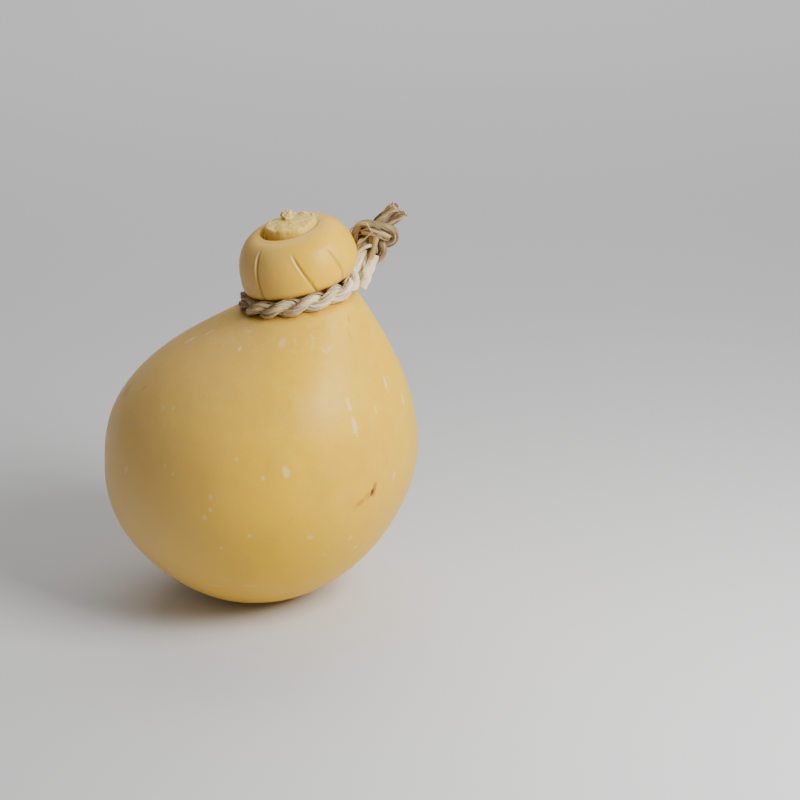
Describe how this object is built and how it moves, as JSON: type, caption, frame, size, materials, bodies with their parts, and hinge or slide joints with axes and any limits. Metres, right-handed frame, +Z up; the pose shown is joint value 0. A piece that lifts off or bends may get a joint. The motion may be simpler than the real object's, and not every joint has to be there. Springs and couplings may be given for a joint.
{
  "type": "caciocavallo cheese",
  "caption": "Pear-shaped aged stretched-curd cheese with a folded knob for a head, tied round the neck with a straw cord that ends in a knot.",
  "frame": {"origin": "middle of the cheese's outer box, on the plane it stands on", "axes": "+Z up through the cheese's length, +X the side that the neck and the head lean to, -Y the front"},
  "size_m": [0.1454, 0.1454, 0.1854],
  "materials": {
    "cheese_rind": "smooth, slightly waxy aged rind, straw yellow to tan, with pale scuffs and one rust-brown scar",
    "straw_cord": "rough, fibrous, pale dry straw cord"
  },
  "bodies": {
    "root": {"cheese": "cheese_rind", "cord_neck": "straw_cord", "cord_end_a": "straw_cord", "cord_end_b": "straw_cord"}
  },
  "joints": []
}
